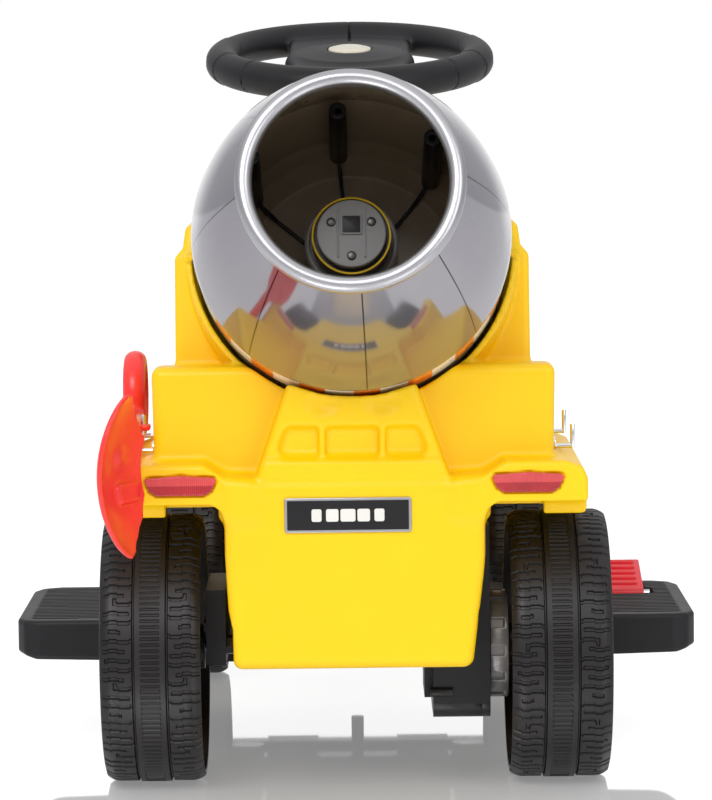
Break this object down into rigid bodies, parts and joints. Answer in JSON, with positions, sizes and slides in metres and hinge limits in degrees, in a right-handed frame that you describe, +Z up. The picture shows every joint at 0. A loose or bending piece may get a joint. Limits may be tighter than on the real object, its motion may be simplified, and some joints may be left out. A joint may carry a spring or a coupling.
{
  "type": "toy cement mixer truck",
  "caption": "Small ride-on toy mixer truck: turning drum on a tilted spindle, steering wheel linked to the front wheels, driven rear wheel, pedal, lifting seat and a toy shovel.",
  "frame": {"origin": "on the floor under the middle of the whole toy", "axes": "+X to the right of the toy, +Y forward, +Z up"},
  "size_m": [0.443, 0.7598, 0.4739],
  "materials": {
    "yellow_plastic": "gloss",
    "black_plastic": "satin",
    "tread_plastic": "satin",
    "steel": "satin",
    "chrome_wire": "polished",
    "mirror_plastic": "mirror gloss",
    "silver_plastic": "satin metallic",
    "drum_inner_plastic": "satin",
    "grey_plastic": "satin",
    "red_plastic": "gloss",
    "red_lens": "ribbed translucent look",
    "clear_lens": "gloss",
    "white_nylon": "satin",
    "cream_plastic": "gloss",
    "blue_plastic": "gloss",
    "battery_case": "matt"
  },
  "bodies": {
    "truck": {"rear_body": "yellow_plastic", "seat_tub": "yellow_plastic", "front_body": "yellow_plastic", "chassis": "black_plastic", "footrest_left": "black_plastic", "footrest_right": "black_plastic", "rear_plate": "black_plastic", "plate_frame": "silver_plastic", "tail_light_left": "red_lens", "tail_light_right": "red_lens", "headlights": "clear_lens", "grille": "black_plastic", "front_bumper": "black_plastic", "dashboard": "black_plastic", "drum_spindle": "yellow_plastic", "spindle_nut": "yellow_plastic", "spindle_cap": "silver_plastic", "spindle_screws": "steel", "tool_hooks": "chrome_wire", "rear_axle": "steel", "axle_washers": "steel", "gearbox_case": "black_plastic", "gearbox_cover": "black_plastic", "motor": "steel", "battery": "battery_case", "column_bush": "white_nylon", "body_screws": "steel", "charge_socket": "black_plastic", "pedal_pin": "steel", "seat_pin": "steel"},
    "drum": {"drum_rear_cone": "mirror_plastic", "drum_band": "silver_plastic", "drum_front_shell": "drum_inner_plastic", "drum_rim": "silver_plastic", "drum_sleeve": "silver_plastic"},
    "steering": {"steering_wheel": "black_plastic", "steering_column": "steel"},
    "horn_button": {"horn_button": "cream_plastic"},
    "tie_rod": {"tie_rod": "black_plastic"},
    "knuckle_left": {"knuckle_left": "black_plastic", "stub_axle_left": "steel"},
    "knuckle_right": {"knuckle_right": "black_plastic", "stub_axle_right": "steel"},
    "wheel_rear_left": {"wheel_rear_left": "tread_plastic", "hub_cap_rear_left": "silver_plastic"},
    "wheel_rear_right": {"wheel_rear_right": "tread_plastic", "hub_cap_rear_right": "silver_plastic", "drive_hub": "grey_plastic", "output_gear": "white_nylon"},
    "wheel_front_left": {"wheel_front_left": "tread_plastic", "hub_cap_front_left": "silver_plastic"},
    "wheel_front_right": {"wheel_front_right": "tread_plastic", "hub_cap_front_right": "silver_plastic"},
    "motor_pinion": {"motor_pinion": "steel"},
    "accelerator_pedal": {"accelerator_pedal": "red_plastic"},
    "shovel": {"shovel": "red_plastic"},
    "seat": {"seat": "black_plastic"},
    "power_button": {"power_button": "red_plastic"},
    "direction_switch": {"direction_switch": "black_plastic"},
    "music_button": {"music_button": "blue_plastic"}
  },
  "joints": [
    {"name": "drum_spin", "type": "hinge", "parent": "truck", "child": "drum", "pos_m": [0, -0.24, 0.3421], "axis": [0, -0.9548, 0.2974], "continuous": true},
    {"name": "steer", "type": "hinge", "parent": "truck", "child": "steering", "pos_m": [0, 0.22, 0.446], "axis": [0, -0.1805, 0.9836], "range_deg": [-26, 26]},
    {"name": "horn_press", "type": "slide", "parent": "steering", "child": "horn_button", "axis": [0, 0.1805, -0.9836], "range_m": [0, 0.0025], "stiffness_N_per_m": 800, "springref_m": -0.002},
    {"name": "tie_rod_slide", "type": "slide", "parent": "truck", "child": "tie_rod", "axis": [1, 0, 0], "range_m": [-0.014, 0.014]},
    {"name": "knuckle_left_turn", "type": "hinge", "parent": "truck", "child": "knuckle_left", "pos_m": [-0.078, 0.25, 0.0835], "axis": [0, 0, 1], "range_deg": [-26.5, 26.5]},
    {"name": "knuckle_right_turn", "type": "hinge", "parent": "truck", "child": "knuckle_right", "pos_m": [0.078, 0.25, 0.0835], "axis": [0, 0, 1], "range_deg": [-26.5, 26.5]},
    {"name": "wheel_rear_left_spin", "type": "hinge", "parent": "truck", "child": "wheel_rear_left", "pos_m": [-0.12475, -0.175, 0.0835], "axis": [1, 0, 0], "continuous": true},
    {"name": "wheel_rear_right_spin", "type": "hinge", "parent": "truck", "child": "wheel_rear_right", "pos_m": [0.12475, -0.175, 0.0835], "axis": [1, 0, 0], "continuous": true},
    {"name": "pinion_spin", "type": "hinge", "parent": "truck", "child": "motor_pinion", "pos_m": [0.06, -0.15625, 0.11598], "axis": [1, 0, 0], "continuous": true},
    {"name": "wheel_front_left_spin", "type": "hinge", "parent": "knuckle_left", "child": "wheel_front_left", "pos_m": [-0.12475, 0.25, 0.0835], "axis": [1, 0, 0], "continuous": true},
    {"name": "wheel_front_right_spin", "type": "hinge", "parent": "knuckle_right", "child": "wheel_front_right", "pos_m": [0.12475, 0.25, 0.0835], "axis": [1, 0, 0], "continuous": true},
    {"name": "pedal_press", "type": "hinge", "parent": "truck", "child": "accelerator_pedal", "pos_m": [0.1665, 0.038, 0.0845], "axis": [-1, 0, 0], "range_deg": [0, 8], "stiffness_Nm_per_rad": 2, "springref_deg": -5.73},
    {"name": "shovel_lift", "type": "slide", "parent": "truck", "child": "shovel", "axis": [0, 0, 1], "range_m": [0, 0.12]},
    {"name": "seat_lid", "type": "hinge", "parent": "truck", "child": "seat", "pos_m": [0, 0.119, 0.217], "axis": [-1, 0, 0], "range_deg": [0, 60]},
    {"name": "power_press", "type": "slide", "parent": "truck", "child": "power_button", "axis": [0, 0.1805, -0.9836], "range_m": [0, 0.0025], "stiffness_N_per_m": 600, "springref_m": -0.001},
    {"name": "music_press", "type": "slide", "parent": "truck", "child": "music_button", "axis": [0, 0.1805, -0.9836], "range_m": [0, 0.0025], "stiffness_N_per_m": 600, "springref_m": -0.001},
    {"name": "direction_rock", "type": "hinge", "parent": "truck", "child": "direction_switch", "pos_m": [0.042, 0.25345, 0.34132], "axis": [1, 0, 0], "range_deg": [-12, 12]}
  ],
  "couplings": [
    {"joint": "tie_rod_slide", "follows": "steer", "m_per_rad": 0.0288},
    {"joint": "knuckle_left_turn", "follows": "steer", "ratio": 1},
    {"joint": "knuckle_right_turn", "follows": "steer", "ratio": 1},
    {"joint": "pinion_spin", "follows": "wheel_rear_right_spin", "ratio": -4}
  ]
}
